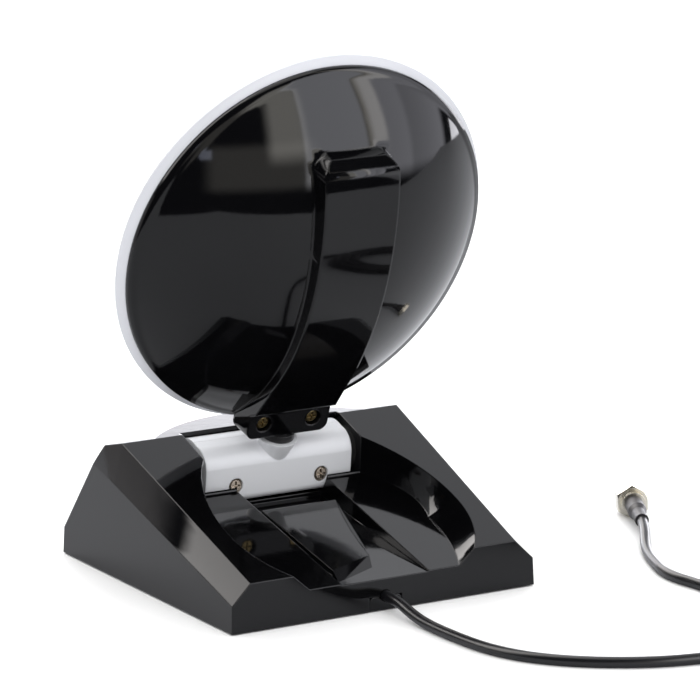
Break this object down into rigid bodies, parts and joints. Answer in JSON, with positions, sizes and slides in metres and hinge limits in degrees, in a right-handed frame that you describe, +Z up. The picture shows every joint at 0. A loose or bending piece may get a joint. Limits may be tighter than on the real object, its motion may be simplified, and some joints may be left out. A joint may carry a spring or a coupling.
{
  "type": "directional antenna",
  "caption": "Desktop directional antenna: round dish head on a swivel neck in a tilting barrel, on a wedge base with a nest for the folded head, and a coaxial cord with a screw-on plug.",
  "frame": {"origin": "centre of the base's footprint, on the surface that it stands on", "axes": "+Z up; the dish looks towards -Y and leans back; +Y is the rear, where the cord leaves; +X is the right-hand side seen from behind the dish's face looking along -Y"},
  "size_m": [0.2284, 0.2427, 0.1929],
  "materials": {
    "black_plastic": "glossy black ABS",
    "white_plastic": "glossy white ABS",
    "black_nylon": "satin black nylon",
    "white_nylon": "natural nylon",
    "rubber_black": "matt rubber",
    "zinc_screw": "zinc plated",
    "gold_screw": "yellow zinc plated",
    "sheet_steel": "galvanised",
    "tin_plate": "tin plated",
    "aluminium_sheet": "mill finish",
    "board_green": "solder mask on glass laminate",
    "nickel": "bright nickel plate",
    "pin_copper": "bare copper",
    "white_dielectric": "foamed polyethylene",
    "cord_jacket": "soft PVC",
    "shrink_tube": "polyolefin"
  },
  "bodies": {
    "base": {"base_shell": "black_plastic", "base_cover": "black_plastic", "rubber_feet": "rubber_black", "base_screws": "zinc_screw", "ballast_plate": "sheet_steel", "ballast_screws": "zinc_screw", "cable_clip": "black_nylon", "clip_screws": "zinc_screw", "spring_washers": "tin_plate", "base_lead": "cord_jacket", "cord_tube": "cord_jacket", "cord_coil": "cord_jacket", "cord_tail": "cord_jacket", "shrink_sleeve": "shrink_tube", "plug_body": "nickel", "plug_insulator": "white_dielectric", "centre_pin": "pin_copper"},
    "barrel": {"barrel_rear": "white_plastic", "barrel_front": "white_plastic", "barrel_screws": "zinc_screw", "axle_pins": "black_nylon", "pivot_washers": "white_nylon"},
    "head": {"rear_shell": "black_plastic", "front_cover": "white_plastic", "swivel_neck": "black_nylon", "neck_retainer": "tin_plate", "foot_screws": "gold_screw", "element_board": "board_green", "reflector_disc": "aluminium_sheet", "board_spacers": "white_nylon", "board_screws": "zinc_screw", "shield_can": "tin_plate", "neck_lead": "cord_jacket"},
    "nut": {"coupling_nut": "nickel"}
  },
  "joints": [
    {"name": "tilt", "type": "hinge", "parent": "base", "child": "barrel", "pos_m": [0, -0.0243, 0.036], "axis": [1, 0, 0], "range_deg": [-50, 20]},
    {"name": "swivel", "type": "hinge", "parent": "barrel", "child": "head", "pos_m": [0, -0.01278, 0.04713], "axis": [0, 0.3371, 0.9415], "range_deg": [-15, 15]},
    {"name": "nut_spin", "type": "hinge", "parent": "base", "child": "nut", "pos_m": [-0.15, -0.005, 0.0057], "axis": [-0.4555, -0.8902, 0], "continuous": true}
  ]
}
